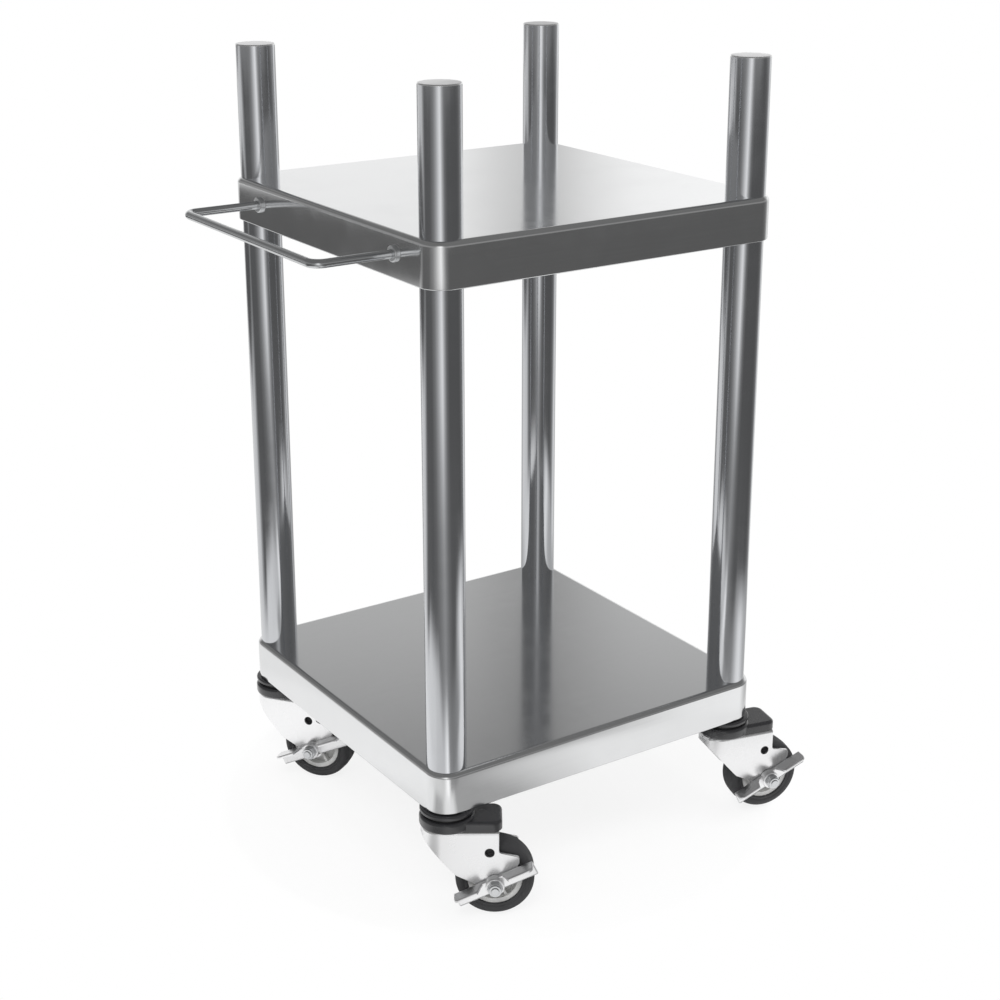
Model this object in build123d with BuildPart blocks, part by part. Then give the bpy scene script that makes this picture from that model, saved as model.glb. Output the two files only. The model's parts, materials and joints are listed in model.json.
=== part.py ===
from build123d import *
import os
from math import cos, radians, sin

# A two-shelf cart for a rice warmer: four tube posts through two sheet shelves, a rod handle
# and four swivel casters with brake levers. Millimetres. The origin is on the floor, midway
# between the posts; +X points away from the handle, +Y to the back and +Z up.

# Posts
post_spacing = 338.0
post_diameter = 38.1
post_wall = 1.5
post_rise = 130.0
post_foot = 1.0

# Caps in the tops of the posts
cap_thickness = 1.5
cap_plug_depth = 10.0
cap_edge = 0.7

# Shelves
ground_clearance = 112.0
shelf_pitch = 500.0
shelf_reach = 22.5
skirt_height = 42.0
sheet_thickness = 1.2
bend_radius = 5.0
hem_height = 8.0

# Handle
handle_rod_diameter = 8.0
handle_reach = 82.0
handle_span = 256.0
handle_bend_radius = 11.0
handle_drop = 19.5
handle_end_length = 12.0
collar_diameter = 15.0
collar_thickness = 3.0
handle_nut_width = 13.0
handle_nut_thickness = 6.5

# Caster stems, their sockets in the posts and the thrust bearings
socket_height = 30.0
stem_diameter = 12.0
stem_length = 26.0
race_diameter = 52.0
race_thickness = 4.0
bearing_outer_diameter = 44.0
bearing_inner_diameter = 20.0
bearing_thickness = 3.0
rivet_diameter = 20.0
rivet_thickness = 3.5

# Swivel crown, the dark head of each caster
crown_diameter = 53.0
crown_thickness = 11.5
crown_edge = 2.5
tongue_reach = 52.0
tongue_drop = 2.0
tongue_corner_radius = 9.0

# Fork
caster_trail = 45.0
fork_plate = 3.0
fork_bend_radius = 4.0
fork_front = 25.0
fork_back = 49.0
fork_heel_drop = 8.0
knee_along = 8.0
knee_height = 46.0
knee_radius = 8.0
axle_boss_radius = 11.0
leg_spur_reach = 23.0
leg_spur_rise = 32.0
leg_spur_slope = 4.5
leg_spur_depth = 6.5
leg_spur_radius = 3.0
leg_hole_diameter = 9.0
leg_hole_setback = 5.0
leg_hole_rise = 32.0

# Wheel
wheel_diameter = 76.2
wheel_width = 28.0
wheel_side_gap = 2.5
tyre_shoulder = 5.0
core_diameter = 52.0
core_rim_width = 24.0
core_rim_depth = 4.5
web_thickness = 8.0
rib_count = 6
rib_thickness = 2.5
rib_setback = 2.0
hub_diameter = 20.0
hub_side_gap = 0.5

# Axle bolt, the sleeve that it clamps between the legs, and the lock nut
axle_diameter = 8.0
axle_hex_width = 13.0
axle_head_thickness = 5.3
axle_nut_thickness = 6.5
axle_end = 1.0
sleeve_diameter = 11.0

# Brake lever
lever_tilt = 25.5
lever_plate = 2.5
lever_front_length = 40.0
lever_back_length = 42.0
lever_width = 14.0
lever_tread_width = 15.0
lever_tread_start = 13.0
lever_tread_corner = 5.0
lever_hub_diameter = 18.0
lever_hub_length = 8.0
lever_gap = 0.5

# Which way each caster trails, in degrees from +X
caster_headings = {"front_left": -33.0, "front_right": -13.0, "rear_left": -53.0, "rear_right": -33.0}

# Clearances
post_clearance = 0.15
plug_clearance = 0.05
running_clearance = 0.05
stack_clearance = 0.3

# Worked-out sizes
post_radius = post_diameter / 2
post_bore_radius = post_radius - post_wall
shelf_size = post_spacing + 2 * shelf_reach
lower_shelf_top = ground_clearance + skirt_height
upper_shelf_top = lower_shelf_top + shelf_pitch
post_bottom = ground_clearance - post_foot
post_top = upper_shelf_top + post_rise - cap_thickness
handle_height = upper_shelf_top - handle_drop
wheel_radius = wheel_diameter / 2
race_bottom = post_bottom - race_thickness
crown_top = race_bottom - bearing_thickness
crown_bottom = crown_top - crown_thickness
roof_bottom = crown_bottom - fork_plate
leg_inside = wheel_width / 2 + wheel_side_gap
leg_outside = leg_inside + fork_plate
hub_half = leg_inside - hub_side_gap
lever_inside = leg_outside + lever_gap
lever_hub_face = lever_inside + lever_hub_length
nut_inside = lever_hub_face + stack_clearance
nut_outside = nut_inside + axle_nut_thickness
axle_radius = axle_diameter / 2
bore_radius = axle_radius + running_clearance
sleeve_radius = sleeve_diameter / 2
stem_radius = stem_diameter / 2

corners = {
    "front_left": (-post_spacing / 2, -post_spacing / 2),
    "front_right": (post_spacing / 2, -post_spacing / 2),
    "rear_left": (-post_spacing / 2, post_spacing / 2),
    "rear_right": (post_spacing / 2, post_spacing / 2),
}


def save(piece, node):
    """Label a finished piece and write its STEP file."""
    piece.part.label = node
    export_step(piece.part, f"parts/{node}.step")


def build_post(corner):
    """One open tube from under the lower shelf to its cap."""
    with BuildPart() as post:
        with BuildSketch(Plane(origin=(*corner, post_bottom))):
            Circle(post_radius)
            Circle(post_bore_radius, mode=Mode.SUBTRACT)
        extrude(amount=post_top - post_bottom)
    return post


def build_post_caps():
    """Flanged plugs that close the four posts, flush with the tubes."""
    with BuildPart() as caps:
        with BuildSketch(Plane.XY.offset(post_top)):
            with GridLocations(post_spacing, post_spacing, 2, 2):
                Circle(post_radius)
        extrude(amount=cap_thickness)
        with BuildSketch(Plane.XY.offset(post_top)):
            with GridLocations(post_spacing, post_spacing, 2, 2):
                Circle(post_bore_radius - plug_clearance)
        extrude(amount=-cap_plug_depth)
        chamfer(caps.edges().group_by(Axis.Z)[-1], cap_edge)
    return caps


def build_shelf(top, handle_holes):
    """A sheet pan turned upside down, with rolled edges, a hemmed skirt and a hole for each post."""
    with BuildPart() as shelf:
        with BuildSketch(Plane.XY.offset(top)):
            RectangleRounded(shelf_size, shelf_size, shelf_reach)
        extrude(amount=-skirt_height)
        fillet(shelf.faces().sort_by(Axis.Z)[-1].edges(), bend_radius)
        offset(amount=-sheet_thickness, openings=shelf.faces().sort_by(Axis.Z)[0])
        with BuildSketch(Plane.XY.offset(top - skirt_height)):
            RectangleRounded(shelf_size, shelf_size, shelf_reach)
            hem_size = shelf_size - 4 * sheet_thickness
            hem_corner = shelf_reach - 2 * sheet_thickness
            RectangleRounded(hem_size, hem_size, hem_corner, mode=Mode.SUBTRACT)
        extrude(amount=hem_height)
        with BuildSketch(Plane.XY.offset(top)):
            with GridLocations(post_spacing, post_spacing, 2, 2):
                Circle(post_radius + post_clearance)
        extrude(amount=-skirt_height, mode=Mode.SUBTRACT)
        if handle_holes:
            with BuildSketch(Plane.YZ.offset(-shelf_size / 2)):
                with Locations((-handle_span / 2, handle_height), (handle_span / 2, handle_height)):
                    Circle(handle_rod_diameter / 2 + running_clearance)
            extrude(amount=sheet_thickness, mode=Mode.SUBTRACT)
    return shelf


def build_handle():
    """A round rod bent into a level U, its ends passing through the skirt."""
    end_x = -shelf_size / 2 + handle_end_length
    bar_x = -shelf_size / 2 - handle_reach + handle_rod_diameter / 2
    with BuildPart() as handle:
        with BuildLine() as route:
            FilletPolyline(
                (end_x, handle_span / 2, handle_height),
                (bar_x, handle_span / 2, handle_height),
                (bar_x, -handle_span / 2, handle_height),
                (end_x, -handle_span / 2, handle_height),
                radius=handle_bend_radius,
            )
        with BuildSketch(Plane(origin=route.line @ 0, z_dir=route.line % 0)):
            Circle(handle_rod_diameter / 2)
        sweep()
    return handle


def build_handle_collars():
    """Round collars on the handle's ends, against the outside of the skirt."""
    with BuildPart() as collars:
        with BuildSketch(Plane.YZ.offset(-shelf_size / 2)):
            with Locations((-handle_span / 2, handle_height), (handle_span / 2, handle_height)):
                Circle(collar_diameter / 2)
                Circle(handle_rod_diameter / 2 + running_clearance, mode=Mode.SUBTRACT)
        extrude(amount=-collar_thickness)
    return collars


def build_handle_nuts():
    """Hexagon nuts on the handle's ends, against the inside of the skirt."""
    with BuildPart() as nuts:
        with BuildSketch(Plane.YZ.offset(-shelf_size / 2 + sheet_thickness)):
            with Locations((-handle_span / 2, handle_height), (handle_span / 2, handle_height)):
                RegularPolygon(handle_nut_width / 2, 6, major_radius=False)
                Circle(handle_rod_diameter / 2 + running_clearance, mode=Mode.SUBTRACT)
        extrude(amount=handle_nut_thickness)
    return nuts


def build_caster_sockets():
    """Threaded plugs in the feet of the posts, bored for the caster stems."""
    with BuildPart() as sockets:
        with BuildSketch(Plane.XY.offset(post_bottom)):
            with GridLocations(post_spacing, post_spacing, 2, 2):
                Circle(post_bore_radius - plug_clearance)
                Circle(stem_radius + running_clearance, mode=Mode.SUBTRACT)
        extrude(amount=socket_height)
    return sockets


def build_caster_stems():
    """Stems with their race plates, each ending in a rivet head under the fork's roof."""
    with BuildPart() as stems:
        with BuildSketch(Plane.XY.offset(race_bottom)):
            with GridLocations(post_spacing, post_spacing, 2, 2):
                Circle(race_diameter / 2)
        extrude(amount=race_thickness)
        rivet_top = roof_bottom - stack_clearance
        with BuildSketch(Plane.XY.offset(rivet_top - rivet_thickness)):
            with GridLocations(post_spacing, post_spacing, 2, 2):
                Circle(rivet_diameter / 2)
        extrude(amount=rivet_thickness)
        with BuildSketch(Plane.XY.offset(rivet_top)):
            with GridLocations(post_spacing, post_spacing, 2, 2):
                Circle(stem_radius)
        extrude(amount=post_bottom + stem_length - rivet_top)
    return stems


def build_swivel_bearings():
    """Thrust rings between each race plate and its crown."""
    with BuildPart() as bearings:
        with BuildSketch(Plane.XY.offset(crown_top)):
            with GridLocations(post_spacing, post_spacing, 2, 2):
                Circle(bearing_outer_diameter / 2)
                Circle(bearing_inner_diameter / 2, mode=Mode.SUBTRACT)
        extrude(amount=bearing_thickness)
    return bearings


class CasterPlace:
    """Where one caster stands: its swivel axis, the way it trails and the side its lever is on."""

    def __init__(self, corner, heading):
        self.centre = Vector(*corner, 0)
        self.trail = Vector(cos(radians(heading)), sin(radians(heading)), 0)
        self.near = Vector(sin(radians(heading)), -cos(radians(heading)), 0)
        self.axle = self.centre + self.trail * caster_trail + Vector(0, 0, wheel_radius)

    def level(self, height):
        """A level plane at the swivel axis, with local x along the trail."""
        return Plane(origin=self.centre + Vector(0, 0, height), x_dir=self.trail, z_dir=(0, 0, 1))

    def side(self, reach):
        """An upright plane reach to the lever's side: local x along the trail, local y up."""
        origin = self.centre + self.near * reach
        return Plane(origin=origin, x_dir=self.trail, z_dir=self.near)

    def axle_side(self, reach, tilt=0.0):
        """The same upright plane, with its origin on the axle and turned up by tilt."""
        along = self.trail * cos(radians(tilt)) + Vector(0, 0, sin(radians(tilt)))
        return Plane(origin=self.axle + self.near * reach, x_dir=along, z_dir=self.near)

    def lever_top(self):
        """The plane of the lever's treads, facing down: local x along the lever, local y outwards."""
        plate = self.axle_side(lever_inside, lever_tilt)
        top_edge = plate.origin + plate.y_dir * lever_width / 2
        return Plane(origin=top_edge, x_dir=plate.x_dir, z_dir=-plate.y_dir)

    def axle_section(self):
        """The plane through the axle's line: local x along the axle, local y up."""
        return Plane(origin=self.axle, x_dir=self.near, z_dir=-self.trail)


def build_crown(place):
    """The round swivel head, with a lower tongue over the wheel."""
    with BuildPart() as crown:
        with BuildSketch(place.level(crown_bottom)):
            Circle(crown_diameter / 2)
        extrude(amount=crown_thickness)
        chamfer(crown.edges(), crown_edge)
        with BuildSketch(place.level(crown_bottom)) as tongue:
            with Locations((tongue_reach / 2, 0)):
                Rectangle(tongue_reach, 2 * leg_outside)
            fillet(tongue.vertices().group_by(SortBy.DISTANCE)[-1], tongue_corner_radius)
        extrude(amount=crown_thickness - tongue_drop)
        with BuildSketch(place.level(crown_bottom)):
            Circle(stem_radius + running_clearance)
        extrude(amount=crown_thickness, mode=Mode.SUBTRACT)
    return crown


def fork_plan(tail, half_width):
    """Sketch a plan that is round at the nose, under the head, and straight back to the tail."""
    nose_centre = leg_outside - fork_front
    with Locations((nose_centre, 0)):
        Circle(half_width)
    with Locations(((nose_centre + tail) / 2, 0)):
        Rectangle(tail - nose_centre, 2 * half_width)


def build_fork(place):
    """A pressed fork: a round nose under the head and two raked legs, each with a spur and an axle boss."""
    boss_tail = caster_trail + axle_boss_radius
    spur_tail = caster_trail + leg_spur_reach
    spur_top = wheel_radius + leg_spur_rise
    spur_corner = spur_top - leg_spur_slope
    with BuildPart() as fork:
        with BuildSketch(place.level(0)):
            fork_plan(spur_tail, leg_outside)
        extrude(amount=crown_bottom)
        roof_rim = fork.faces().sort_by(Axis.Z)[-1].edges()
        fillet(roof_rim.sort_by(Axis(place.centre, place.trail))[:-1], fork_bend_radius)
        with BuildSketch(place.level(0)):
            fork_plan(spur_tail, leg_inside)
        extrude(amount=roof_bottom, mode=Mode.SUBTRACT)
        with BuildSketch(place.side(-leg_outside)):
            with BuildLine():
                FilletPolyline(
                    (caster_trail, wheel_radius - axle_boss_radius),
                    (knee_along, knee_height),
                    (-fork_front, crown_bottom - fork_heel_drop),
                    (-fork_front, crown_bottom),
                    (fork_back, crown_bottom),
                    (fork_back, spur_top),
                    (spur_tail, spur_corner),
                    (spur_tail, spur_corner - leg_spur_depth),
                    (boss_tail, wheel_radius),
                    radius=[knee_radius, fork_heel_drop / 2, 0, 0, *[leg_spur_radius] * 3],
                )
                Line((boss_tail, wheel_radius), (caster_trail, wheel_radius - axle_boss_radius))
            make_face()
            with Locations((caster_trail, wheel_radius)):
                Circle(axle_boss_radius)
                Circle(bore_radius, mode=Mode.SUBTRACT)
            with Locations((caster_trail - leg_hole_setback, wheel_radius + leg_hole_rise)):
                Circle(leg_hole_diameter / 2, mode=Mode.SUBTRACT)
        extrude(amount=2 * leg_outside, mode=Mode.INTERSECT)
        with BuildSketch(place.level(roof_bottom)):
            Circle(stem_radius + running_clearance)
        extrude(amount=fork_plate, mode=Mode.SUBTRACT)
    return fork


def build_axle_bolt(place):
    """The bolt through both legs, the wheel and the lever, with its head on the far side."""
    with BuildPart() as bolt:
        with BuildSketch(place.axle_side(-leg_outside)):
            Circle(axle_radius)
        extrude(amount=leg_outside + nut_outside + axle_end)
        with BuildSketch(place.axle_side(-leg_outside)):
            RegularPolygon(axle_hex_width / 2, 6, major_radius=False)
        extrude(amount=-axle_head_thickness)
    return bolt


def build_axle_sleeve(place):
    """The tube on the bolt that keeps the legs apart and carries the wheel's hub."""
    with BuildPart() as sleeve:
        with BuildSketch(place.axle_side(-leg_inside)):
            Circle(sleeve_radius)
            Circle(bore_radius, mode=Mode.SUBTRACT)
        extrude(amount=2 * leg_inside)
    return sleeve


def build_axle_nut(place):
    """The lock nut outside the brake lever."""
    with BuildPart() as nut:
        with BuildSketch(place.axle_side(nut_inside)):
            RegularPolygon(axle_hex_width / 2, 6, major_radius=False)
            Circle(bore_radius, mode=Mode.SUBTRACT)
        extrude(amount=axle_nut_thickness)
    return nut


def build_wheel_core(place):
    """A rim and a long hub joined by a thinner web with ribs on both sides."""
    rib_reach = (core_diameter - core_rim_depth) / 2
    with BuildPart() as core:
        with BuildSketch(place.axle_side(-core_rim_width / 2)):
            Circle(core_diameter / 2)
        extrude(amount=core_rim_width)
        for outward, start in ((1, web_thickness / 2), (-1, -web_thickness / 2)):
            with BuildSketch(place.axle_side(start)):
                Circle(core_diameter / 2 - core_rim_depth)
            extrude(amount=outward * (core_rim_width - web_thickness) / 2, mode=Mode.SUBTRACT)
            with BuildSketch(place.axle_side(start)):
                with PolarLocations(rib_reach / 2, rib_count):
                    Rectangle(rib_reach, rib_thickness)
            extrude(amount=outward * ((core_rim_width - web_thickness) / 2 - rib_setback))
        with BuildSketch(place.axle_side(-hub_half)):
            Circle(hub_diameter / 2)
        extrude(amount=2 * hub_half)
        with BuildSketch(place.axle_side(-hub_half)):
            Circle(sleeve_radius + running_clearance)
        extrude(amount=2 * hub_half, mode=Mode.SUBTRACT)
    return core


def build_tyre(place):
    """A solid tyre with bevelled shoulders."""
    inner_radius = core_diameter / 2 + plug_clearance
    with BuildPart() as tyre:
        with BuildSketch(place.axle_section()):
            with BuildLine():
                Polyline(
                    (-wheel_width / 2, inner_radius),
                    (wheel_width / 2, inner_radius),
                    (wheel_width / 2, wheel_radius - tyre_shoulder),
                    (wheel_width / 2 - tyre_shoulder, wheel_radius),
                    (tyre_shoulder - wheel_width / 2, wheel_radius),
                    (-wheel_width / 2, wheel_radius - tyre_shoulder),
                    close=True,
                )
            make_face()
        revolve(axis=Axis(place.axle, place.near))
    return tyre


def build_brake_lever(place):
    """A two-winged lever that turns on the axle outside the near leg, with a tread on each wing."""
    tread_lengths = {
        -(lever_front_length + lever_tread_start) / 2: lever_front_length - lever_tread_start,
        (lever_back_length + lever_tread_start) / 2: lever_back_length - lever_tread_start,
    }
    with BuildPart() as lever:
        with BuildSketch(place.axle_side(lever_inside, lever_tilt)):
            with Locations(((lever_back_length - lever_front_length) / 2, 0)):
                Rectangle(lever_front_length + lever_back_length, lever_width)
        extrude(amount=lever_plate)
        with BuildSketch(place.lever_top()) as treads:
            for middle, length in tread_lengths.items():
                with Locations((middle, lever_tread_width / 2)):
                    Rectangle(length, lever_tread_width)
            fillet(treads.vertices().group_by(Axis.Y)[-1], lever_tread_corner)
        extrude(amount=lever_plate)
        with BuildSketch(place.axle_side(lever_inside)):
            Circle(lever_hub_diameter / 2)
        extrude(amount=lever_hub_length)
        with BuildSketch(place.axle_side(lever_inside)):
            Circle(bore_radius)
        extrude(amount=lever_hub_length, mode=Mode.SUBTRACT)
    return lever


os.makedirs("parts", exist_ok=True)

for place_name, post_corner in corners.items():
    save(build_post(post_corner), f"post_{place_name}")
save(build_post_caps(), "post_caps")
save(build_shelf(upper_shelf_top, handle_holes=True), "upper_shelf")
save(build_shelf(lower_shelf_top, handle_holes=False), "lower_shelf")
save(build_handle(), "handle")
save(build_handle_collars(), "handle_collars")
save(build_handle_nuts(), "handle_nuts")
save(build_caster_sockets(), "caster_sockets")
save(build_caster_stems(), "caster_stems")
save(build_swivel_bearings(), "swivel_bearings")

caster_pieces = {
    "swivel_crown": build_crown,
    "fork": build_fork,
    "axle_bolt": build_axle_bolt,
    "axle_sleeve": build_axle_sleeve,
    "axle_nut": build_axle_nut,
    "wheel_core": build_wheel_core,
    "tyre": build_tyre,
    "brake_lever": build_brake_lever,
}
for place_name, post_corner in corners.items():
    caster_place = CasterPlace(post_corner, caster_headings[place_name])
    for piece_name, build_piece in caster_pieces.items():
        save(build_piece(caster_place), f"{piece_name}_{place_name}")
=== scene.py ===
import json
from math import cos, pi, radians, sin, sqrt

import bmesh
import bpy
import numpy as np
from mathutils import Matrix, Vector


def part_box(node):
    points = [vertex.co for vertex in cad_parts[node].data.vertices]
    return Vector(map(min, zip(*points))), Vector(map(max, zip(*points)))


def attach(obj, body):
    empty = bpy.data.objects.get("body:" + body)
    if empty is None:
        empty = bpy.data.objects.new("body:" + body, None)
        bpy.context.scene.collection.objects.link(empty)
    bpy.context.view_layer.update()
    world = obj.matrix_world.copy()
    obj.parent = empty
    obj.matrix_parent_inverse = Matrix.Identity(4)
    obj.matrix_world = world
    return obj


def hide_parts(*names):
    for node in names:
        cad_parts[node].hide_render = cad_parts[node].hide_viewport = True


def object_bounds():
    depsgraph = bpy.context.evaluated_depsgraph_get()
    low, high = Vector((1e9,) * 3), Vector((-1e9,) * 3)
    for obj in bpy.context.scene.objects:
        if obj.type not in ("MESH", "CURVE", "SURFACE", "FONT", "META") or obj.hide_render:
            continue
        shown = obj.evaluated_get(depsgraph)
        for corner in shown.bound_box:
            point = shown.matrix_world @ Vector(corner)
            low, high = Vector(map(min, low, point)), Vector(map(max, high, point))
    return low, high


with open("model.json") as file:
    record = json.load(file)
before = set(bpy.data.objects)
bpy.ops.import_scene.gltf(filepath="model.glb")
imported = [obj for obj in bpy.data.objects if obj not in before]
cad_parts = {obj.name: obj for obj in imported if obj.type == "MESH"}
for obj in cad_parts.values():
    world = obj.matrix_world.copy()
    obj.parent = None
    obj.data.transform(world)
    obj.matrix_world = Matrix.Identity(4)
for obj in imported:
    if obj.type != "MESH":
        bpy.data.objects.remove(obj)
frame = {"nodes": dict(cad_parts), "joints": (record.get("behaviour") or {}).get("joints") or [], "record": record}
cad_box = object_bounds()

# The camera, fitted to the posts, shelf corners and handle in the photograph
EYE = Vector((-0.9809, -1.4767, 0.9878))
YAW = radians(33.693)
PITCH = radians(18.525)
FOCAL_SHARE = 1.8476
SENSOR = 36.0
SHIFT_UP = -0.06
CLIP_START = 0.05

# The four casters and the joints they turn on
PLACES = ("front_left", "front_right", "rear_left", "rear_right")
JOINTS = {joint["name"]: joint for joint in frame["joints"]}

# Directions
UP = np.array((0.0, 0.0, 1.0))
RIGHT = np.array((1.0, 0.0, 0.0))
NEARLY_UPRIGHT = 0.9

# How finely shapes are drawn
ROUND_STEPS = 96
TYRE_STEPS = 128
ROD_STEPS = 48
ARC_STEPS = 8
EDGE_STEPS = 12
BEND_STEPS = 24
DOME_STEPS = 7
CHAMFER_STEPS = 5
EASE_STEPS = 3

# When points are one, faces are flat and edges are sharp
MERGE_DISTANCE = 0.000005
FLAT_ANGLE = radians(1)
SMOOTH_ANGLE = radians(32)

# Posts, caps and shelves, in metres
POST_BORE = 0.01755
CAP_RIM = 0.0012
CAP_DOME = 0.0003
SHELF_CORNER = 0.0225
SHELF_ROLL = 0.005
SHEET = 0.0012
HEM_HEIGHT = 0.008
FLAT_MARGIN = 0.0006

# Handle
ROD_RADIUS = 0.004
HANDLE_BEND = 0.011
ROD_CHAMFER = 0.0008
COLLAR_ROUND = 0.0012

# Swivel heads and stems
RACE_ROUND = 0.0012
STEM_RADIUS = 0.006
STEM_CHAMFER = 0.001
RIVET_RADIUS = 0.010
RIVET_THICKNESS = 0.0035
RIVET_ROUND = 0.002
CROWN_RADIUS = 0.0265
CROWN_ROUND = 0.003
TONGUE_REACH = 0.052
TONGUE_HALF = 0.0195
TONGUE_CORNER = 0.009
TONGUE_DROP = 0.002

# Eased edges of the forks and the wheel cores
FORK_EASE = 0.0006
CORE_EASE = 0.0004

# Hexagons: half the flats as a share of the corner's radius, and the round face as a share of the flats
HEX_SHARE = sqrt(3) / 2
HEX_FACE = 0.96
HEX_CHAMFER = 0.0009

# Axle bolts and lock nuts
BOLT_CHAMFER = 0.0007
NUT_COLLAR = 0.0018
NUT_COLLAR_SHARE = 0.93
NUT_COLLAR_ROUND = 0.0008
NUT_OVERLAP = 0.0002

# Tyres
TYRE_SHOULDER = 0.0058
TYRE_CROWN = 0.0004
TYRE_BEAD = 0.0012
TREAD_STEPS = 6
SEAM_HEIGHT = 0.00015
SEAM_WIDTH = 0.0005
SEAM_ZONE = 0.0015
SEAM_EDGE = 0.002
SEAM_STEPS = 13
GROOVE_RADIUS = 0.0292
GROOVE_DEPTH = 0.0006
GROOVE_WIDTH = 0.0009
WALL_STEPS = 24

# Brake levers
LEVER_TILT = radians(25.5)
LEVER_FRONT = 0.040
LEVER_BACK = 0.042
LEVER_HALF_WIDTH = 0.007
LEVER_SKIN = 0.00125
LEVER_STEPS = 83
TIP_STEPS = 6
TREAD_WIDTH = 0.015
TREAD_LIP = 0.00375
TREAD_START = 0.0105
TREAD_RAMP = 0.006
TREAD_CORNER = 0.005
LEVER_HUB_RADIUS = 0.009
LEVER_HUB_LENGTH = 0.008
LEVER_HUB_ROUND = 0.0012

# Steps of a lever's section: up its leg, across its tread, round its outer corner and round its rims
LEG_STEPS = 8
SHELF_STEPS = 12
CORNER_STEPS = 6
RIM_STEPS = 9


# Surface helpers


def unit(vector):
    """A vector at length one."""
    vector = np.array(vector, float)
    return vector / np.linalg.norm(vector)


def smooth_step(values):
    """A soft ramp: 3 v squared minus 2 v cubed, held at 0 below 0 and at 1 above 1."""
    values = np.clip(values, 0, 1)
    return values * values * (3 - 2 * values)


def columns(*values):
    """Rows of numbers from columns side by side; a single number is repeated down its column."""
    return np.stack(np.broadcast_arrays(*values), axis=1)


def chain(*runs):
    """Several runs of rows joined into one; a single row counts as a run."""
    return np.concatenate([np.atleast_2d(np.array(run, float)) for run in runs])


def arc(middle, radius, start, end, steps=ARC_STEPS):
    """Points on a circle: the middle plus radius times (cos, sin) of evenly spaced angles in degrees."""
    turn = np.radians(np.linspace(start, end, steps))
    return columns(middle[0] + radius * np.cos(turn), middle[1] + radius * np.sin(turn))


def turns(steps):
    """Evenly spaced angles round a full turn, one to a row."""
    return np.linspace(0, 2 * pi, steps, endpoint=False)[:, None]


def spokes(axis, steps):
    """Unit vectors round an axis: cos times one crosswise vector plus sin times the other."""
    helper = UP if abs(axis[2]) < NEARLY_UPRIGHT else RIGHT
    first = unit(np.cross(helper, axis))
    second = np.cross(axis, first)
    return np.cos(turns(steps)) * first + np.sin(turns(steps)) * second


def turned(profile, centre, axis, steps=ROUND_STEPS):
    """A profile of (along, radius) turned about an axis: centre + along * axis + radius * spoke."""
    around = spokes(axis, steps)[:, None, :]
    profile = np.broadcast_to(profile, (steps, *profile.shape[-2:]))
    return np.array(centre) + profile[..., :1] * axis + profile[..., 1:] * around


def hexagon(corner, low, high, bore, centre, axis):
    """A hexagon with turned-off corners: the lesser radius of its walls and of a cone at each end."""
    half_flats = corner * HEX_SHARE
    wall = half_flats / np.cos(turns(ROUND_STEPS) % (pi / 3) - pi / 6)
    along = np.concatenate([np.linspace(low, low + HEX_CHAMFER, CHAMFER_STEPS),
                            np.linspace(high - HEX_CHAMFER, high, CHAMFER_STEPS)])
    cone = half_flats * HEX_FACE + np.minimum(along - low, high - along) * sqrt(3)
    radius = np.pad(np.minimum(wall, cone), ((0, 0), (1, 1)), constant_values=bore)
    profile = np.stack(np.broadcast_arrays(np.pad(along, 1, mode="edge"), radius), axis=-1)
    return turned(profile, centre, axis)


def rounded_outline(half_x, half_y, corner, steps):
    """A rounded rectangle and its outward normals, going round by its four corner arcs."""
    turn = np.linspace(0, pi / 2, steps)[None, :] + np.arange(4)[:, None] * pi / 2
    normal = np.stack([np.cos(turn), np.sin(turn)], axis=-1)
    side = np.array(((1, 1), (-1, 1), (-1, -1), (1, -1)))[:, None, :]
    middle = side * (half_x - corner, half_y - corner)
    return (middle + corner * normal).reshape(-1, 2), normal.reshape(-1, 2)


def pillow(outline, profile, centre, along=RIGHT):
    """An outline at each (inset, height) of a profile: outline - inset * normal, with both ends closed."""
    line, normal = outline
    inset, height = np.pad(profile, ((1, 1), (0, 0)), mode="edge").T[:, None, :, None]
    scale = np.ones_like(inset)
    scale[:, [0, -1]] = 0
    flat = scale * (line[:, None, :] - inset * normal[:, None, :])
    across = np.cross(UP, along)
    return np.array(centre) + flat[..., :1] * along + flat[..., 1:] * across + height * UP


def grid_faces(row_count, column_count, round_rows, round_columns):
    """Corner numbers of the faces between neighbouring rows and columns of a grid."""
    row = np.arange(row_count if round_rows else row_count - 1)
    column = np.arange(column_count if round_columns else column_count - 1)
    row, column = np.meshgrid(row, column, indexing="ij")
    next_row, next_column = (row + 1) % row_count, (column + 1) % column_count
    corners = ((row, column), (next_row, column), (next_row, next_column), (row, next_column))
    return np.stack([down * column_count + across for down, across in corners], axis=-1).reshape(-1, 4)


def clean_up(mesh, flat_angle=0.0):
    """Merge doubles, drop needless edges, turn the faces outwards and smooth by angle."""
    work = bmesh.new()
    work.from_mesh(mesh)
    bmesh.ops.remove_doubles(work, verts=work.verts, dist=MERGE_DISTANCE)
    if flat_angle:
        bmesh.ops.dissolve_limit(work, angle_limit=flat_angle, verts=work.verts, edges=work.edges)
    else:
        bmesh.ops.dissolve_degenerate(work, edges=work.edges, dist=MERGE_DISTANCE)
    bmesh.ops.recalc_face_normals(work, faces=work.faces)
    work.to_mesh(mesh)
    work.free()
    mesh.polygons.foreach_set("use_smooth", np.ones(len(mesh.polygons), bool))
    mesh.set_sharp_from_angle(angle=SMOOTH_ANGLE)


def put_in(piece, body, slot, *nodes):
    """Give a new piece its finish and let it ride a body in place of CAD nodes."""
    piece.data.materials.clear()
    piece.data.materials.append(FINISHES[slot])
    bpy.context.scene.collection.objects.link(piece)
    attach(piece, body)
    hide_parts(*nodes)


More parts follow.
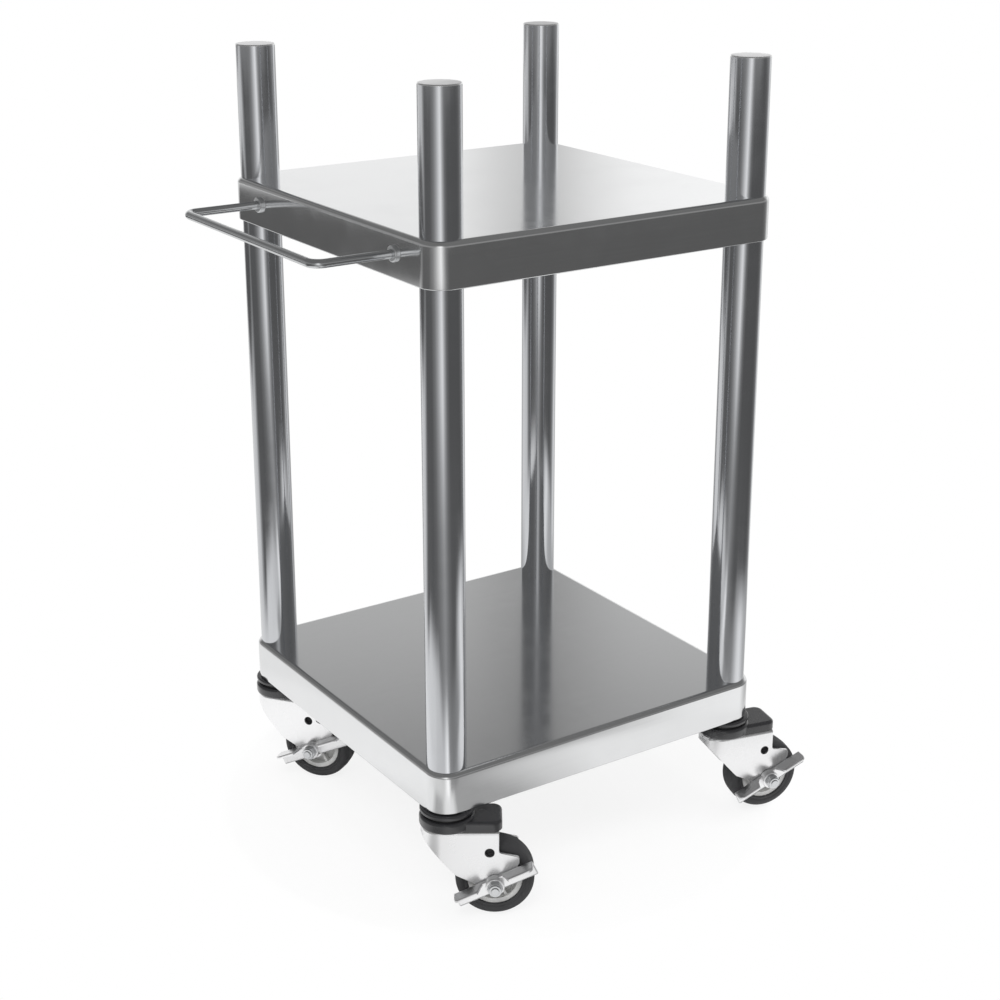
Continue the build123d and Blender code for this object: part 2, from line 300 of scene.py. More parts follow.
def make_piece(name, surfaces, body, slot, *nodes):
    """One object from its surfaces, each a grid of points and whether its rows and its columns close."""
    points, faces, count = [], [], 0
    for grid, round_rows, round_columns in surfaces:
        points.append(grid.reshape(-1, 3))
        faces.append(grid_faces(*grid.shape[:2], round_rows, round_columns) + count)
        count += len(points[-1])
    mesh = bpy.data.meshes.new(name)
    mesh.from_pydata(np.concatenate(points).tolist(), [], np.concatenate(faces).tolist())
    clean_up(mesh)
    put_in(bpy.data.objects.new(name, mesh), body, slot, *nodes)


def make_eased_copy(name, node, body, slot, width):
    """A copy of a CAD node with its flat faces joined and a small bevel on its edges."""
    mesh = frame["nodes"][node].data.copy()
    mesh.name = name
    custom = mesh.attributes.get("custom_normal")
    if custom:
        mesh.attributes.remove(custom)
    clean_up(mesh, FLAT_ANGLE)
    piece = bpy.data.objects.new(name, mesh)
    put_in(piece, body, slot, node)
    bevel = piece.modifiers.new("eased_edges", "BEVEL")
    bevel.width = width
    bevel.segments = EASE_STEPS
    bevel.limit_method = "ANGLE"
    bevel.angle_limit = SMOOTH_ANGLE
    bevel.harden_normals = True


def node_points(node):
    """The points of a CAD node, one row each."""
    mesh = frame["nodes"][node].data
    flat = np.empty(3 * len(mesh.vertices))
    mesh.vertices.foreach_get("co", flat)
    return flat.reshape(-1, 3)


def span(points, centre, axis):
    """How far points reach along an axis from a centre, and their least and greatest radius about it."""
    offset = points - centre
    along = offset @ axis
    radius = np.linalg.norm(offset - along[:, None] * axis, axis=1)
    return along.min(), along.max(), radius.min(), radius.max()


def node_size(node):
    """The lowest corner, the highest corner and the middle of a CAD node."""
    low, high = (np.array(corner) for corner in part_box(node))
    return low, high, (low + high) / 2


# Finishes: polishing lines and wiped patches, both made of noise, and the gloss of a coating

LINE_DETAIL = 4.0
LINE_ROUGHNESS = 0.6
PATCH_DETAIL = 2.0
SMALL_PATCH_SCALE = 4.3
SMALL_PATCH_DETAIL = 5.0
SMALL_PATCH_TWIST = 0.6
PATCH_LOW = 0.14
PATCH_HIGH = 0.40
PATCH_TONE = 0.4
COAT_ROUGHNESS = 0.1

# How polishing lines are stretched: upright, along x, along y, or the same all ways
UP_LINES = (420.0, 420.0, 5.0)
X_LINES = (5.0, 900.0, 900.0)
Y_LINES = (600.0, 6.0, 600.0)
EVEN = (350.0, 350.0, 350.0)
FINE = (1400.0, 1400.0, 1400.0)

# Colours that more than one finish has
BLACK_COATING = (0.022, 0.022, 0.024)
BRIGHT_ZINC = (0.90, 0.90, 0.905)


def add_node(tree, kind, inputs=None, **settings):
    """A new node in a tree, with its settings and the values of its input sockets, by name or number."""
    made = tree.nodes.new(kind)
    for name, value in settings.items():
        setattr(made, name, value)
    for name, value in (inputs or {}).items():
        made.inputs[name].default_value = value
    return made


def new_group(name, inputs, outputs):
    """An empty shader node group with named sockets, its input node and its output node."""
    group = bpy.data.node_groups.new(name, "ShaderNodeTree")
    for label, kind in inputs.items():
        group.interface.new_socket(label, in_out="INPUT", socket_type=kind)
    for label, kind in outputs.items():
        group.interface.new_socket(label, in_out="OUTPUT", socket_type=kind)
    return group, group.nodes.new("NodeGroupInput"), group.nodes.new("NodeGroupOutput")


def make_grain_group():
    """Polishing lines: noise stretched by a vector, as a value from 0 to 1."""
    group, entry, result = new_group("grain", {"Stretch": "NodeSocketVector"}, {"Lines": "NodeSocketFloat"})
    place = add_node(group, "ShaderNodeTexCoord")
    stretched = add_node(group, "ShaderNodeVectorMath", operation="MULTIPLY")
    noise = add_node(group, "ShaderNodeTexNoise",
                     {"Scale": 1.0, "Detail": LINE_DETAIL, "Roughness": LINE_ROUGHNESS})
    link = group.links.new
    link(place.outputs["Object"], stretched.inputs[0])
    link(entry.outputs["Stretch"], stretched.inputs[1])
    link(stretched.outputs["Vector"], noise.inputs["Vector"])
    link(noise.outputs["Fac"], result.inputs["Lines"])
    return group


def make_smear_group():
    """Soft uneven patches, as from wiping: two sizes of noise multiplied and spread from 0 to 1."""
    group, entry, result = new_group("smears", {"Scale": "NodeSocketFloat"}, {"Patches": "NodeSocketFloat"})
    place = add_node(group, "ShaderNodeTexCoord")
    large = add_node(group, "ShaderNodeTexNoise", {"Detail": PATCH_DETAIL})
    finer = add_node(group, "ShaderNodeMath", {1: SMALL_PATCH_SCALE}, operation="MULTIPLY")
    small = add_node(group, "ShaderNodeTexNoise",
                     {"Detail": SMALL_PATCH_DETAIL, "Distortion": SMALL_PATCH_TWIST})
    both = add_node(group, "ShaderNodeMath", operation="MULTIPLY")
    spread = add_node(group, "ShaderNodeMapRange", {"From Min": PATCH_LOW, "From Max": PATCH_HIGH})
    link = group.links.new
    link(place.outputs["Object"], large.inputs["Vector"])
    link(place.outputs["Object"], small.inputs["Vector"])
    link(entry.outputs["Scale"], large.inputs["Scale"])
    link(entry.outputs["Scale"], finer.inputs[0])
    link(finer.outputs[0], small.inputs["Scale"])
    link(large.outputs["Fac"], both.inputs[0])
    link(small.outputs["Fac"], both.inputs[1])
    link(both.outputs[0], spread.inputs["Value"])
    link(spread.outputs["Result"], result.inputs["Patches"])
    return group


GRAIN = make_grain_group()
SMEARS = make_smear_group()


def make_finish(name, base, roughness, stretch, grain=0.06, smear=0.06, smear_scale=9.0, tone=0.04,
                bump=0.00001, metallic=0.0, coat=0.0):
    """A finish of one colour, whose polishing lines and wiped patches move its roughness and its tone."""
    material = bpy.data.materials.new(name)
    material.use_nodes = True
    tree = material.node_tree
    shader = tree.nodes["Principled BSDF"]
    shader.inputs["Metallic"].default_value = metallic
    shader.inputs["Coat Weight"].default_value = coat
    shader.inputs["Coat Roughness"].default_value = COAT_ROUGHNESS
    lines = add_node(tree, "ShaderNodeGroup", node_tree=GRAIN)
    lines.inputs["Stretch"].default_value = stretch
    patches = add_node(tree, "ShaderNodeGroup", node_tree=SMEARS)
    patches.inputs["Scale"].default_value = smear_scale
    line_gloss = add_node(tree, "ShaderNodeMapRange",
                          {"To Min": roughness - grain, "To Max": roughness + grain})
    gloss = add_node(tree, "ShaderNodeMath", {1: smear}, operation="MULTIPLY_ADD")
    patch_tone = add_node(tree, "ShaderNodeMath", {1: PATCH_TONE}, operation="MULTIPLY")
    mottle = add_node(tree, "ShaderNodeMath", operation="ADD", use_clamp=True)
    colour = add_node(tree, "ShaderNodeMix", data_type="RGBA")
    colour.inputs["A"].default_value = (*[channel * (1 - tone) for channel in base], 1)
    colour.inputs["B"].default_value = (*[min(1, channel * (1 + tone)) for channel in base], 1)
    relief = add_node(tree, "ShaderNodeBump", {"Strength": 1.0, "Distance": bump})
    link = tree.links.new
    link(lines.outputs["Lines"], line_gloss.inputs["Value"])
    link(patches.outputs["Patches"], gloss.inputs[0])
    link(line_gloss.outputs["Result"], gloss.inputs[2])
    link(gloss.outputs[0], shader.inputs["Roughness"])
    link(patches.outputs["Patches"], patch_tone.inputs[0])
    link(lines.outputs["Lines"], mottle.inputs[0])
    link(patch_tone.outputs[0], mottle.inputs[1])
    link(mottle.outputs[0], colour.inputs["Factor"])
    link(colour.outputs["Result"], shader.inputs["Base Color"])
    link(lines.outputs["Lines"], relief.inputs["Height"])
    link(relief.outputs["Normal"], shader.inputs["Normal"])
    return material


FINISHES = {
    "post_tube": make_finish("polished_tube", (0.60, 0.61, 0.63), 0.10, UP_LINES, grain=0.03, smear=0.05,
                             bump=0.000004, metallic=1),
    "post_cap": make_finish("satin_cap", (0.88, 0.88, 0.885), 0.30, EVEN, grain=0.04,
                            bump=0.000002, metallic=1),
    "shelf_sheet": make_finish("rolled_sheet", (0.74, 0.745, 0.75), 0.11, X_LINES, grain=0.03, smear=0.05,
                               bump=0.000004, metallic=1),
    "handle_rod": make_finish("polished_rod", (0.60, 0.61, 0.62), 0.16, Y_LINES, grain=0.03, smear=0.05,
                              bump=0.000004, metallic=1),
    "fastener": make_finish("zinc_fastener", (0.66, 0.67, 0.68), 0.28, EVEN, grain=0.04, smear=0.08,
                            bump=0.000003, metallic=1),
    "socket": make_finish("nylon_socket", (0.05, 0.05, 0.055), 0.45, EVEN),
    "stem": make_finish("race_coating", BLACK_COATING, 0.24, FINE, grain=0.03, smear=0.08,
                        bump=0.000002, coat=0.6),
    "bearing": make_finish("greased_ring", (0.06, 0.06, 0.06), 0.30, EVEN),
    "crown": make_finish("crown_coating", BLACK_COATING, 0.24, FINE, grain=0.03, smear=0.08,
                         bump=0.000002, coat=0.6),
    "fork": make_finish("bright_zinc", BRIGHT_ZINC, 0.25, FINE, grain=0.03, bump=0.000001, metallic=1),
    "lever": make_finish("lever_zinc", BRIGHT_ZINC, 0.28, FINE, grain=0.03, bump=0.000001, metallic=1),
    "wheel_core": make_finish("moulded_core", (0.68, 0.68, 0.67), 0.42, FINE, bump=0.000004),
    "tyre": make_finish("tyre_rubber", (0.04, 0.04, 0.042), 0.60, FINE, grain=0.08, smear=0.12,
                        smear_scale=30.0, tone=0.12, bump=0.000012),
}


def dress_nodes():
    """Give every CAD node the finish of its slot."""
    for part in frame["record"]["subparts"]:
        for material_slot in frame["nodes"][part["node"]].material_slots:
            material_slot.material = FINISHES[part["material_slot"]]


# Posts, caps and shelves


def make_posts():
    """Round tubes: the outer wall and the bore, closed at both ends."""
    for place in PLACES:
        node = f"post_{place}"
        low, high, middle = node_size(node)
        radius = (high[0] - low[0]) / 2
        profile = chain((low[2], radius), (high[2], radius), (high[2], POST_BORE), (low[2], POST_BORE))
        tube = turned(profile, (middle[0], middle[1], 0), UP)
        make_piece(f"tube_{place}", [(tube, True, True)], "frame", "post_tube", node)


def make_post_caps():
    """Pressed caps: a top that falls with the square of the radius, a round rim and a plug in the tube."""
    bottom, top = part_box("post_caps")[0].z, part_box("post_caps")[1].z
    surfaces = []
    for place in PLACES:
        low, high, middle = node_size(f"post_{place}")
        radius = (high[0] - low[0]) / 2
        inner = radius - CAP_RIM
        across = np.linspace(0, inner, DOME_STEPS)
        dome = columns(top - CAP_DOME * (across / inner) ** 2, across)
        rim = arc((top - CAP_DOME - CAP_RIM, inner), CAP_RIM, 0, 90)
        profile = chain(dome, rim[1:], (high[2], radius), (high[2], POST_BORE), (bottom, POST_BORE),
                        (bottom, 0))
        surfaces.append((turned(profile, (middle[0], middle[1], 0), UP), True, False))
    make_piece("pressed_caps", surfaces, "frame", "post_cap", "post_caps")


def make_shelves():
    """Upside-down pans: a flat top, a rolled edge, a skirt and a folded hem, and the sheet's other side."""
    for node in ("upper_shelf", "lower_shelf"):
        low, high, middle = node_size(node)
        top, bottom, half = high[2], low[2], (high[0] - low[0]) / 2
        hem, flat = bottom + HEM_HEIGHT, SHELF_ROLL + FLAT_MARGIN
        roll = (SHELF_ROLL, top - SHELF_ROLL)
        profile = chain((flat, top), arc(roll, SHELF_ROLL, 90, 180, EDGE_STEPS),
                        arc((SHEET, bottom + SHEET), SHEET, 180, 360, EDGE_STEPS),
                        (2 * SHEET, hem), (SHEET, hem),
                        arc(roll, SHELF_ROLL - SHEET, 180, 90, EDGE_STEPS), (flat, top - SHEET))
        outline = rounded_outline(half, half, SHELF_CORNER, BEND_STEPS)
        pan = pillow(outline, profile, (middle[0], middle[1], 0))
        make_piece(f"{node}_pan", [(pan, True, False)], "frame", "shelf_sheet", node)


# Handle and its fastenings


def make_handle():
    """A circle carried along a level U of straight runs and quarter bends, with chamfered ends."""
    low, high, middle = node_size("handle")
    bend, end = low[0] + ROD_RADIUS + HANDLE_BEND, high[0]
    half = (high[1] - low[1]) / 2 - ROD_RADIUS
    start = chain((end, half), (end, half), (end - ROD_CHAMFER, half))
    path = chain(start, arc((bend, half - HANDLE_BEND), HANDLE_BEND, 90, 180, BEND_STEPS),
                 arc((bend, HANDLE_BEND - half), HANDLE_BEND, 180, 270, BEND_STEPS), start[::-1] * (1, -1))
    run = chain([(-1, 0)] * len(start), arc((0, 0), 1, 180, 270, BEND_STEPS),
                arc((0, 0), 1, 270, 360, BEND_STEPS), [(1, 0)] * len(start))
    radius = np.full(len(path), ROD_RADIUS)
    radius[[0, -1]] = 0
    radius[[1, -2]] -= ROD_CHAMFER
    across = columns(-run[:, 1], run[:, 0], 0)[:, None, :]
    centre = columns(path[:, 0], path[:, 1], middle[2])[:, None, :]
    circle = np.cos(turns(ROD_STEPS)) * across + np.sin(turns(ROD_STEPS)) * UP
    rod = centre + radius[:, None, None] * circle
    make_piece("bent_rod", [(rod, False, True)], "frame", "handle_rod", "handle")


def make_handle_fastenings():
    """At each end of the handle, a round-edged collar outside the skirt and a chamfered nut inside it."""
    collars, nuts = [], []
    for side in (-1, 1):
        collar, nut = node_points("handle_collars"), node_points("handle_nuts")
        collar, nut = collar[collar[:, 1] * side > 0], nut[nut[:, 1] * side > 0]
        centre = (collar.min(axis=0) + collar.max(axis=0)) / 2
        low, high, bore, radius = span(collar, centre, RIGHT)
        rim = arc((low + COLLAR_ROUND, radius - COLLAR_ROUND), COLLAR_ROUND, 180, 90)
        profile = chain((low, bore), rim, (high, radius), (high, bore))
        collars.append((turned(profile, centre, RIGHT), True, True))
        low, high, bore, corner = span(nut, centre, RIGHT)
        nuts.append((hexagon(corner, low, high, bore, centre, RIGHT), True, True))
    make_piece("rod_collars", collars, "frame", "fastener", "handle_collars")
    make_piece("rod_nuts", nuts, "frame", "fastener", "handle_nuts")


# Casters


def make_stems():
    """Turned stems: a threaded pin, a race plate with rounded edges, and a rivet head under the fork."""
    points = node_points("caster_stems")
    bottom, top = points[:, 2].min(), points[:, 2].max()
    race_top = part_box("post_front_left")[0].z
    race_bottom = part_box("swivel_bearings")[1].z
    swivel_reach = abs(JOINTS["swivel_front_left"]["pos_m"][0])
    race_radius = (points[:, 0].max() - points[:, 0].min()) / 2 - swivel_reach
    under = RIVET_THICKNESS + bottom
    edge = race_radius - RACE_ROUND
    profile = chain((top, 0), (top, STEM_RADIUS - STEM_CHAMFER), (top - STEM_CHAMFER, STEM_RADIUS),
                    (race_top, STEM_RADIUS), arc((race_top - RACE_ROUND, edge), RACE_ROUND, 0, 90),
                    arc((race_bottom + RACE_ROUND, edge), RACE_ROUND, 90, 180),
                    (race_bottom, STEM_RADIUS), (under, STEM_RADIUS), (under, RIVET_RADIUS),
                    arc((bottom + RIVET_ROUND, RIVET_RADIUS - RIVET_ROUND), RIVET_ROUND, 90, 180),
                    (bottom, 0))
    surfaces = []
    for place in PLACES:
        corner = JOINTS[f"swivel_{place}"]["pos_m"]
        surfaces.append((turned(profile, (corner[0], corner[1], 0), UP), True, False))
    make_piece("race_stems", surfaces, "frame", "stem", "caster_stems")


def make_crown(place, trail):
    """The dark swivel head: a round-edged disc with a lower, round-edged tongue over the wheel."""
    node = f"swivel_crown_{place}"
    low, high, _ = node_size(node)
    bottom, top = low[2], high[2]
    centre = np.array((*JOINTS[f"swivel_{place}"]["pos_m"][:2], 0))
    edge = CROWN_RADIUS - CROWN_ROUND
    disc = chain((top, 0), (top, edge - FLAT_MARGIN), arc((top - CROWN_ROUND, edge), CROWN_ROUND, 0, 90),
                 arc((bottom + CROWN_ROUND, edge), CROWN_ROUND, 90, 180), (bottom, edge - FLAT_MARGIN),
                 (bottom, 0))
    upper, flat = top - TONGUE_DROP, CROWN_ROUND + FLAT_MARGIN
    profile = chain((flat, upper), arc((CROWN_ROUND, upper - CROWN_ROUND), CROWN_ROUND, 90, 180),
                    (0, bottom), (flat, bottom))
    outline = rounded_outline(TONGUE_REACH / 2, TONGUE_HALF, TONGUE_CORNER, EDGE_STEPS)
    tongue = pillow(outline, profile, centre + trail * TONGUE_REACH / 2, trail)
    make_piece(f"swivel_head_{place}", [(turned(disc, centre, UP), True, False), (tongue, True, False)],
               f"caster_{place}", "crown", node)


def make_axle(place, axle, near):
    """The bolt with its chamfered hexagon head, and the lock nut with its round collar."""
    bolt, nut = f"axle_bolt_{place}", f"axle_nut_{place}"
    head_low, end, shank, corner = span(node_points(bolt), axle, near)
    head_high = span(node_points(f"fork_{place}"), axle, near)[0]
    profile = chain((head_high, 0), (head_high, shank), (end - BOLT_CHAMFER, shank),
                    (end, shank - BOLT_CHAMFER), (end, 0))
    head = hexagon(corner, head_low, head_high, 0, axle, near)
    make_piece(f"axle_screw_{place}", [(head, True, False), (turned(profile, axle, near), True, False)],
               f"caster_{place}", "fastener", bolt)
    low, high, bore, corner = span(node_points(nut), axle, near)
    shoulder = high - NUT_COLLAR
    start = shoulder - NUT_OVERLAP
    radius = corner * HEX_SHARE * NUT_COLLAR_SHARE
    rim = arc((high - NUT_COLLAR_ROUND, radius - NUT_COLLAR_ROUND), NUT_COLLAR_ROUND, 90, 0)
    collar = turned(chain((start, bore), (start, radius), rim, (high, bore)), axle, near)
    body = hexagon(corner, low, shoulder, bore, axle, near)
    make_piece(f"lock_nut_{place}", [(body, True, True), (collar, True, True)],
               f"caster_{place}", "fastener", nut)


def make_tyre(place, axle, near):
    """A rubber tyre: a crowned tread with a mould seam, round shoulders, and a groove round each side."""
    node = f"tyre_{place}"
    low, high, inner, outer = span(node_points(node), axle, near)
    half, outer = (high - low) / 2, outer - SEAM_HEIGHT
    shoulder = half - TYRE_SHOULDER
    edge = outer - TYRE_CROWN - TYRE_SHOULDER
    across = np.concatenate([np.linspace(-shoulder, -SEAM_EDGE, TREAD_STEPS),
                             np.linspace(-SEAM_ZONE, SEAM_ZONE, SEAM_STEPS),
                             np.linspace(SEAM_EDGE, shoulder, TREAD_STEPS)])
    seam = SEAM_HEIGHT * np.exp(-(across / SEAM_WIDTH) ** 2)
    tread = columns(across, outer - TYRE_CROWN * (across / shoulder) ** 2 + seam)
    corner = arc((shoulder, edge), TYRE_SHOULDER, 90, 0, EDGE_STEPS)
    radius = np.linspace(edge, inner + TYRE_BEAD, WALL_STEPS)
    wall = columns(half - GROOVE_DEPTH * np.exp(-((radius - GROOVE_RADIUS) / GROOVE_WIDTH) ** 2), radius)
    bead = arc((half - TYRE_BEAD, inner + TYRE_BEAD), TYRE_BEAD, 0, -90)
    right = chain(corner[1:], wall[1:], bead[1:])
    left = right[::-1] * (-1, 1)
    profile = chain(tread, right, left) + (low + half, 0)
    make_piece(f"rubber_tyre_{place}", [(turned(profile, axle, near, TYRE_STEPS), True, True)],
               f"wheel_{place}", "tyre", node)


def lever_stations():
    """Along a lever, (length, half thickness): one skin, falling by quarter circles to 0 at the tips."""
    skin = LEVER_SKIN
    bend = np.radians(np.linspace(0, 90, TIP_STEPS))
    front = columns(-LEVER_FRONT + skin - skin * np.cos(bend), skin * np.sin(bend))
    middle = columns(np.linspace(-LEVER_FRONT + skin, LEVER_BACK - skin, LEVER_STEPS)[1:-1], skin)
    back = columns(LEVER_BACK - skin + skin * np.sin(bend), skin * np.cos(bend))
    return chain(front, middle, back)


def lever_section():
    """Round an L: shares of the tread's width and the leg's height, and a (sideways, upwards) normal."""
    leg, tread = np.linspace(0, 1, LEG_STEPS), np.linspace(0, 1, SHELF_STEPS)
    corner = np.radians(np.linspace(180, 90, CORNER_STEPS)[1:-1])
    rim = np.radians(np.linspace(0, 180, RIM_STEPS)[1:-1])
    return chain(columns(0, leg, -1, 0), columns(0, 1, np.cos(corner), np.sin(corner)),
                 columns(tread, 1, 0, 1), columns(1, 1, np.sin(rim), np.cos(rim)),
                 columns(tread[::-1], 1, 0, -1), columns(0, leg[::-1], 1, 0),
                 columns(0, 0, np.cos(rim), -np.sin(rim)))


def make_lever(place, axle, trail, near):
    """A pressed lever: an L section carried along it, the skin times its normal off its middle line."""
    node = f"brake_lever_{place}"
    inside, _, bore, _ = span(node_points(node), axle, near)
    along = trail * cos(LEVER_TILT) + UP * sin(LEVER_TILT)
    rise = np.cross(near, along)
    skin, leg = LEVER_SKIN, LEVER_HALF_WIDTH - LEVER_SKIN
    length, thick = lever_stations().T[:, :, None]
    share, climb, sideways, upwards = lever_section().T
    to_tip = np.where(length > 0, LEVER_BACK - length, length + LEVER_FRONT)
    cut = np.clip(TREAD_CORNER - to_tip, 0, TREAD_CORNER)
    width = TREAD_LIP + (TREAD_WIDTH - TREAD_LIP) * smooth_step((np.abs(length) - TREAD_START) / TREAD_RAMP)
    width = width - (TREAD_CORNER - np.sqrt(TREAD_CORNER ** 2 - cut ** 2))
    under_tread, inside_leg = upwards == -1, sideways == 1
    out = skin + share * (width - 2 * skin)
    out = np.where(under_tread, np.maximum(out, skin + thick), out) + thick * sideways
    up = leg - (1 - climb) * 2 * leg
    up = np.where(inside_leg, np.minimum(up, leg - thick), up) + thick * upwards
    wing = axle + (inside + out)[..., None] * near + length[..., None] * along + up[..., None] * rise
    face = inside + LEVER_HUB_LENGTH
    rim = arc((face - LEVER_HUB_ROUND, LEVER_HUB_RADIUS - LEVER_HUB_ROUND), LEVER_HUB_ROUND, 90, 0)
    boss = turned(chain((inside, bore), (inside, LEVER_HUB_RADIUS), rim, (face, bore)), axle, near)
    make_piece(f"pressed_lever_{place}", [(wing, False, True), (boss, True, True)],
               f"brake_{place}", "lever", node)


def make_casters():
    """Every visible piece of the four casters, each on its own body."""
    for place in PLACES:
        axle = np.array(JOINTS[f"roll_{place}"]["pos_m"])
        near = -unit(JOINTS[f"roll_{place}"]["axis"])
        trail = np.cross(UP, near)
        make_crown(place, trail)
        make_eased_copy(f"pressed_fork_{place}", f"fork_{place}", f"caster_{place}", "fork", FORK_EASE)
        make_axle(place, axle, near)
        make_eased_copy(f"moulded_core_{place}", f"wheel_core_{place}", f"wheel_{place}", "wheel_core",
                        CORE_EASE)
        make_tyre(place, axle, near)
        make_lever(place, axle, trail, near)


dress_nodes()
make_posts()
make_post_caps()
make_shelves()
make_handle()
make_handle_fastenings()
make_stems()
make_casters()


# Studio: lit sheets round the cart, floor, soft lamps and camera

FORWARD = Vector((sin(YAW), cos(YAW), 0))
SIDEWAYS = Vector((cos(YAW), -sin(YAW), 0))

# The floor's reach, its paleness, and how much of its shadow is hidden from the camera
FLOOR_REACH = 6.0
PALE = 0.9
SHADOW_LIFT = 0.85

# Where the floor starts to glow, and where each ring of it ends, with the width of the change
GLOW_REACH, GLOW_FADE = 0.24, 0.06
FOOT_REACH, FOOT_FADE = 0.44, 0.06
NEAR_REACH, NEAR_FADE = 0.56, 0.22
MIDDLE_REACH, MIDDLE_FADE = 1.0, 1.1
APRON_REACH = 0.17

# A dark card on the floor
CARD_PLACE = Vector((-1.6, 2.63, 0.0))
CARD_REACH, CARD_FADE = 1.0, 0.60
CARD_LEVEL = 0.12

# The sky dims as it rises, then turns to one grey, and lights matte pieces evenly
SKY_START, SKY_FADE, SKY_DIM = 0.22, 0.10, 0.58
TOP_START, TOP_FADE = 0.36, 0.20
ZENITH = 0.18
AMBIENT = 0.55

# Brightness by heading, in degrees right of the camera's own, of each ring of the floor and of the sky
FAR_SHEETS = (
    (-180, 1.12), (-170, 0.82), (-160, 0.52), (-148, 0.28), (-130, 0.14), (-100, 0.13), (-90, 0.38),
    (-80, 0.75), (-55, 0.85), (-42, 0.85), (-25, 0.55), (0, 0.42), (25, 0.55), (40, 0.85), (46, 0.95),
    (56, 0.5), (66, 0.25), (75, 0.16), (88, 0.12), (148, 0.12), (160, 0.22), (170, 0.55), (180, 1.12),
)
MIDDLE_SHEETS = (
    (-180, 0.38), (-160, 0.24), (-148, 0.17), (-130, 0.13), (-100, 0.15), (-90, 0.40), (-80, 0.80),
    (-55, 0.90), (-42, 0.90), (-22, 0.55), (0, 0.42), (22, 0.55), (40, 0.90), (46, 1.0), (56, 0.6),
    (66, 0.30), (75, 0.18), (88, 0.12), (148, 0.14), (160, 0.20), (180, 0.38),
)
NEAR_SHEETS = (
    (-180, 1.35), (-176, 1.1), (-170, 0.78), (-150, 0.80), (-138, 0.90), (-110, 0.95), (-60, 0.95),
    (-42, 0.75), (-20, 0.5), (0, 0.45), (25, 0.55), (60, 0.55), (80, 0.62), (92, 0.9), (102, 1.1),
    (112, 1.0), (122, 0.66), (134, 0.36), (152, 0.30), (162, 0.30), (172, 0.36), (177, 1.1), (180, 1.35),
)
FOOT_SHEETS = (
    (-180, 0.95), (-172, 0.92), (-164, 0.5), (-152, 0.45), (-142, 0.95), (-110, 1.05), (-60, 1.0),
    (-30, 0.7), (0, 0.55), (40, 0.6), (80, 0.8), (100, 1.0), (128, 1.0), (140, 0.75), (150, 0.42),
    (163, 0.42), (172, 0.9), (180, 0.95),
)
SKY_SHEETS = (
    (-180, 1.3), (-172, 1.0), (-164, 0.6), (-158, 0.38), (-148, 0.32), (-130, 0.30), (-100, 0.32),
    (-80, 0.32), (-50, 0.30), (-40, 0.50), (-28, 1.0), (-1.5, 1.0), (-0.3, 0.82), (1, 0.55), (2, 0.68),
    (3, 0.92), (4.5, 1.08), (8, 1.12), (14, 1.1), (46, 1.0), (56, 0.5), (66, 0.36), (75, 0.30),
    (88, 0.28), (115, 0.30), (130, 0.34), (160, 0.34), (168, 0.5), (174, 1.0), (180, 1.3),
)

# How far the near ring is widened, by heading, as a share of the apron's reach
APRON = (
    (-180, 0.0), (-166, 0.0), (-152, 0.8), (-112, 0.8), (-100, 0.0), (60, 0.0), (72, 1.0), (128, 1.0),
    (142, 0.0), (180, 0.0),
)
SHEETS = {
    "Far": FAR_SHEETS,
    "Middle": MIDDLE_SHEETS,
    "Near": NEAR_SHEETS,
    "Foot": FOOT_SHEETS,
    "Sky": SKY_SHEETS,
    "Apron": APRON,
}

# Soft lamps: place and size in metres, and power in watts
LAMPS = {
    "key_lamp": ((-1.6, -1.5, 2.4), 1.2, 40),
    "fill_lamp": ((1.9, -1.0, 1.8), 1.0, 14),
    "top_lamp": ((0.0, 0.3, 2.8), 1.4, 20),
}


def add_ramp(tree, stops):
    """A colour ramp over a whole turn, with a grey level at each heading in degrees."""
    ramp = add_node(tree, "ShaderNodeValToRGB")
    marks = ramp.color_ramp.elements
    shares = [(heading + 180) / 360 for heading, _ in stops]
    for share in shares[1:-1]:
        marks.new(share)
    for mark, share, (_, level) in zip(marks, shares, stops):
        mark.position = share
        mark.color = (level, level, level, 1)
    return ramp


def make_surround_group():
    """The lit surround: a direction's heading from the camera's own, looked up in a ramp for each ring."""
    group, entry, result = new_group("surround", {"Direction": "NodeSocketVector"},
                                     {label: "NodeSocketColor" for label in SHEETS})
    ahead = add_node(group, "ShaderNodeVectorMath", {1: FORWARD}, operation="DOT_PRODUCT")
    aside = add_node(group, "ShaderNodeVectorMath", {1: SIDEWAYS}, operation="DOT_PRODUCT")
    angle = add_node(group, "ShaderNodeMath", operation="ARCTAN2")
    share = add_node(group, "ShaderNodeMapRange", {"From Min": -pi, "From Max": pi})
    link = group.links.new
    link(entry.outputs["Direction"], ahead.inputs[0])
    link(entry.outputs["Direction"], aside.inputs[0])
    link(aside.outputs["Value"], angle.inputs[0])
    link(ahead.outputs["Value"], angle.inputs[1])
    link(angle.outputs[0], share.inputs["Value"])
    for label, stops in SHEETS.items():
        ramp = add_ramp(group, stops)
        link(share.outputs["Result"], ramp.inputs["Fac"])
        link(ramp.outputs["Color"], result.inputs[label])
    return group


def add_fade(tree, value, start, width, low=0.0, high=1.0):
    """A soft step of a value, from low to high over a width."""
    limits = {"From Min": start, "From Max": start + width, "To Min": low, "To Max": high}
    fade = add_node(tree, "ShaderNodeMapRange", limits, interpolation_type="SMOOTHSTEP")
    tree.links.new(value, fade.inputs["Value"])
    return fade.outputs["Result"]


def add_mix(tree, share, first, second):
    """A mix of two colours, each a socket or a grey level."""
    mix = add_node(tree, "ShaderNodeMix", data_type="RGBA")
    tree.links.new(share, mix.inputs["Factor"])
    for name, value in (("A", first), ("B", second)):
        if isinstance(value, float):
            mix.inputs[name].default_value = (value, value, value, 1)
        else:
            tree.links.new(value, mix.inputs[name])
    return mix.outputs["Result"]


